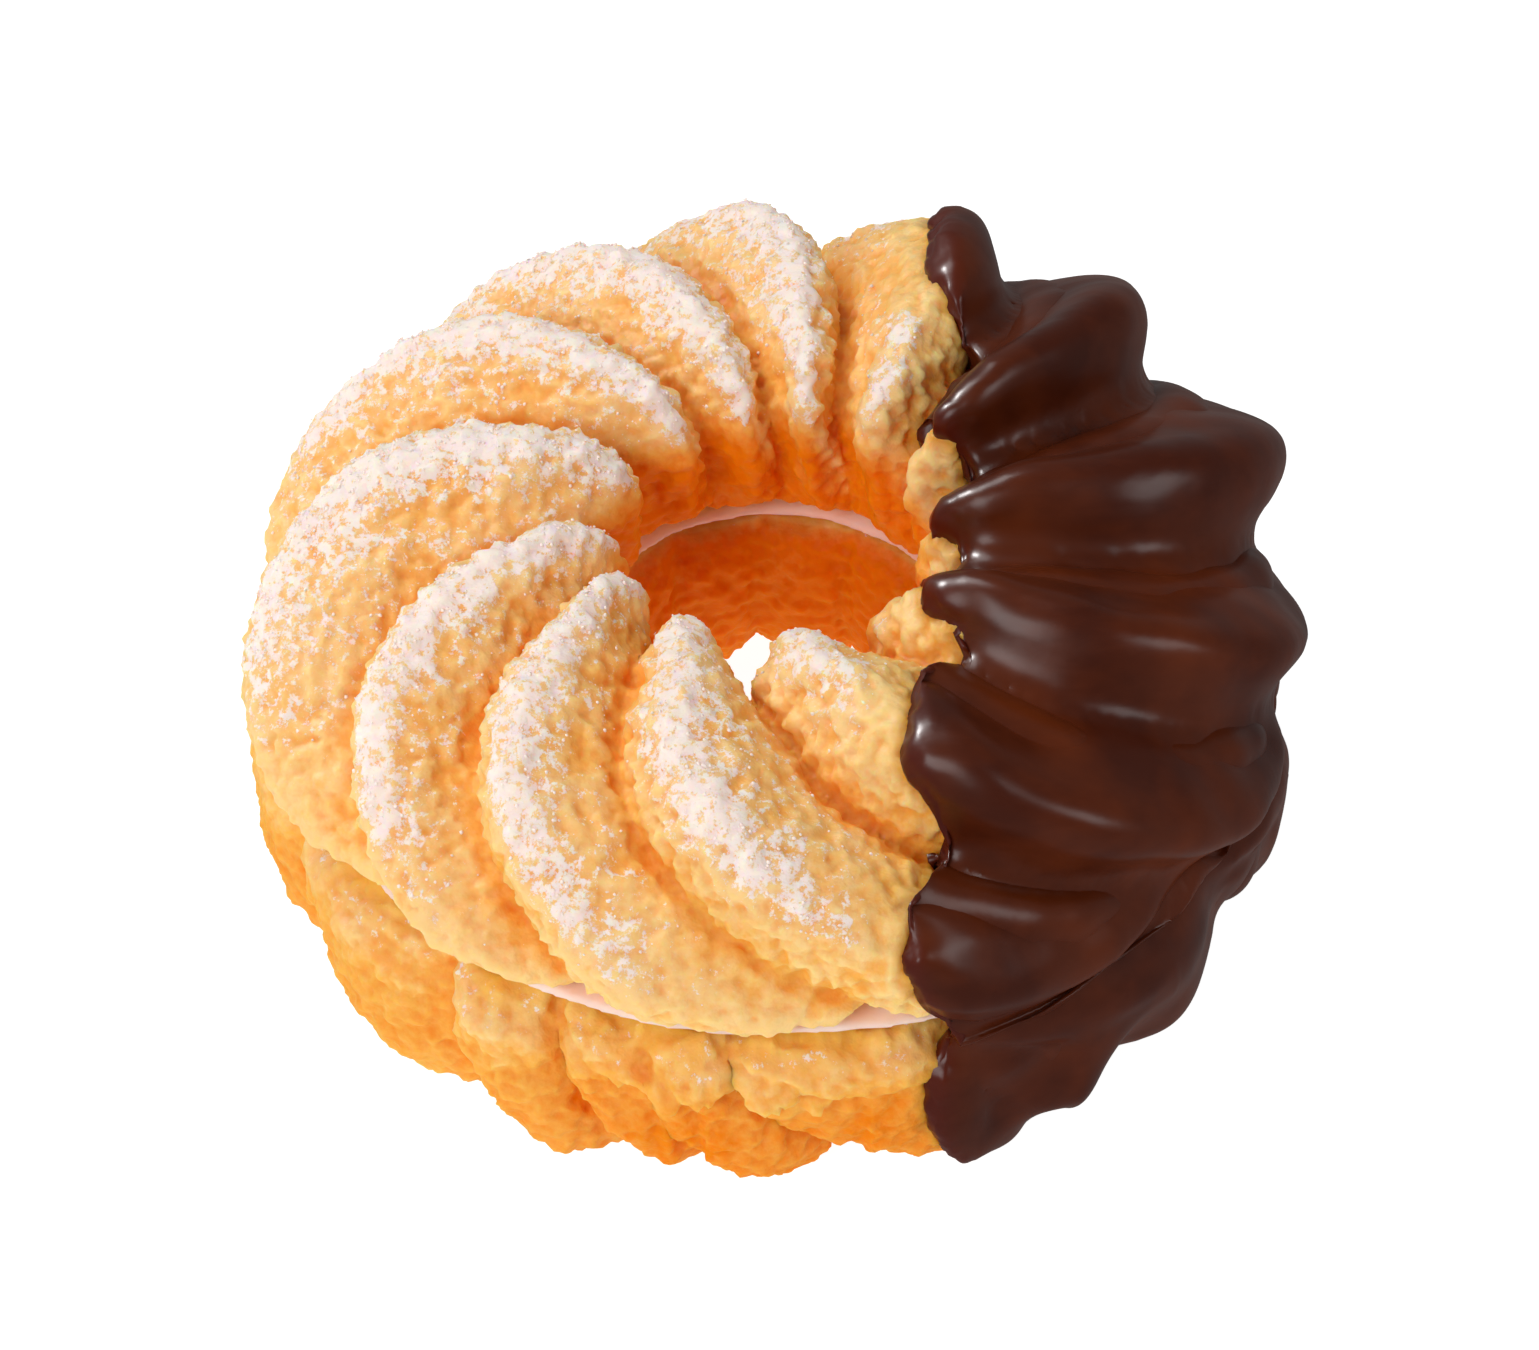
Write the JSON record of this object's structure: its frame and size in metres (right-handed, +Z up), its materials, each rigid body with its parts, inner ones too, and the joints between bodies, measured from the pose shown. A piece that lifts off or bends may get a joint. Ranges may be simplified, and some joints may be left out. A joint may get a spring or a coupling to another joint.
{
  "type": "cruller doughnut",
  "caption": "Fluted ring doughnut, split level and filled with whipped cream, one side dipped in dark chocolate, rests flat on its underside.",
  "frame": {"origin": "centre of the bounding box on the underside, at the level of the table", "axes": "+Z up along the axis of the hole, +X towards the chocolate side, -Y towards the viewer of the picture"},
  "size_m": [0.0856, 0.0846, 0.042],
  "materials": {
    "fried_dough_upper": "matt, crisp fried choux dusted with icing sugar",
    "fried_dough_lower": "matt, crisp fried choux",
    "whipped_cream": "soft satin",
    "dark_chocolate": "smooth set chocolate, soft gloss"
  },
  "bodies": {
    "root": {"upper_half": "fried_dough_upper", "lower_half": "fried_dough_lower", "cream_layer": "whipped_cream", "chocolate_coat": "dark_chocolate"}
  },
  "joints": []
}
